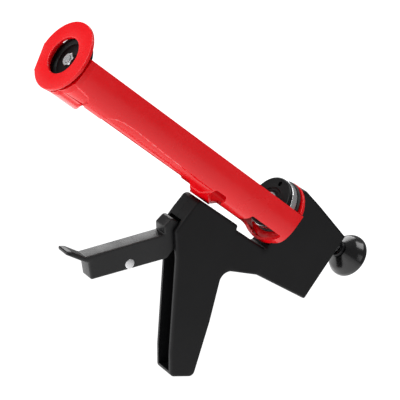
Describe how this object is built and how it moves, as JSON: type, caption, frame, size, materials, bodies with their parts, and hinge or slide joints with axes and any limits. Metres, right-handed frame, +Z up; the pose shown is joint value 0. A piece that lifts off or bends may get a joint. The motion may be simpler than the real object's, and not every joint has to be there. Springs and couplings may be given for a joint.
{
  "type": "caulking gun",
  "caption": "Hand caulking gun: open cradle barrel that turns, push rod with piston and pull knob, pistol grip with a squeeze trigger driving the rod.",
  "frame": {"origin": "middle of the pistol grip, where the hand holds the gun, on the gun's middle plane", "axes": "+X along the rod towards the nozzle, +Y to the gun's left side, +Z up, square to the rod"},
  "size_m": [0.3855, 0.06, 0.2024],
  "materials": {
    "handle_plastic": "satin moulded black",
    "trigger_plastic": "fine grained moulded black",
    "nut_plastic": "smooth moulded black",
    "knob_plastic": "glossy black",
    "barrel_red": "glossy red",
    "rod_steel": "bright plated",
    "bright_steel": "polished",
    "drive_steel": "zinc plated",
    "fastener_steel": "zinc plated",
    "seal_rubber": "matt"
  },
  "bodies": {
    "handle": {"handle_shell_left": "handle_plastic", "handle_shell_right": "handle_plastic", "shell_screw_1": "fastener_steel", "shell_screw_2": "fastener_steel", "shell_screw_3": "fastener_steel", "shell_screw_4": "fastener_steel", "shell_screw_5": "fastener_steel", "shell_screw_6": "fastener_steel", "trigger_pivot_pin": "fastener_steel", "lever_pivot_pin": "fastener_steel", "barrel_spindle": "drive_steel", "barrel_friction_ring": "seal_rubber", "thrust_washer": "bright_steel", "collar_nut": "nut_plastic", "rod_rear_bush": "nut_plastic", "rod_friction_ring": "seal_rubber", "return_spring": "drive_steel"},
    "barrel": {"barrel_trough": "barrel_red", "barrel_rear_plate": "barrel_red", "barrel_front_cap": "barrel_red"},
    "plunger": {"plunger_rod": "rod_steel", "piston_disc": "nut_plastic", "piston_backing_washer": "drive_steel", "piston_nut": "bright_steel", "pull_knob": "knob_plastic", "knob_neck_ring": "nut_plastic"},
    "trigger": {"trigger_lever": "trigger_plastic", "trigger_rivet": "bright_steel", "link_front_pin": "fastener_steel"},
    "link": {"drive_link": "drive_steel"},
    "lever": {"drive_lever": "drive_steel", "link_rear_pin": "fastener_steel"},
    "grip_plates": {"drive_plate_1": "drive_steel", "drive_plate_2": "drive_steel"}
  },
  "joints": [
    {"name": "barrel_turn", "type": "hinge", "parent": "handle", "child": "barrel", "pos_m": [0, 0, 0.118], "axis": [1, 0, 0], "continuous": true},
    {"name": "rod_pull_back", "type": "slide", "parent": "handle", "child": "plunger", "axis": [-1, 0, 0], "range_m": [0, 0.233]},
    {"name": "trigger_squeeze", "type": "hinge", "parent": "handle", "child": "trigger", "pos_m": [0.06, 0, 0.072], "axis": [0, 1, 0], "range_deg": [0, 65], "stiffness_Nm_per_rad": 0.6, "springref_deg": -34.38},
    {"name": "link_swing", "type": "hinge", "parent": "trigger", "child": "link", "pos_m": [0.057, 0, 0.058], "axis": [0, 1, 0], "range_deg": [-70, 1]},
    {"name": "lever_swing", "type": "hinge", "parent": "handle", "child": "lever", "pos_m": [-0.068, 0, 0.092], "axis": [0, 1, 0], "range_deg": [-1, 40]},
    {"name": "plate_push", "type": "slide", "parent": "handle", "child": "grip_plates", "axis": [1, 0, 0], "range_m": [-0.0005, 0.0101], "deforming": ["return_spring"]}
  ],
  "couplings": [
    {"joint": "link_swing", "follows": "trigger_squeeze", "ratio": -1.05},
    {"joint": "lever_swing", "follows": "trigger_squeeze", "ratio": 0.6},
    {"joint": "plate_push", "follows": "trigger_squeeze", "m_per_rad": 0.00846}
  ]
}
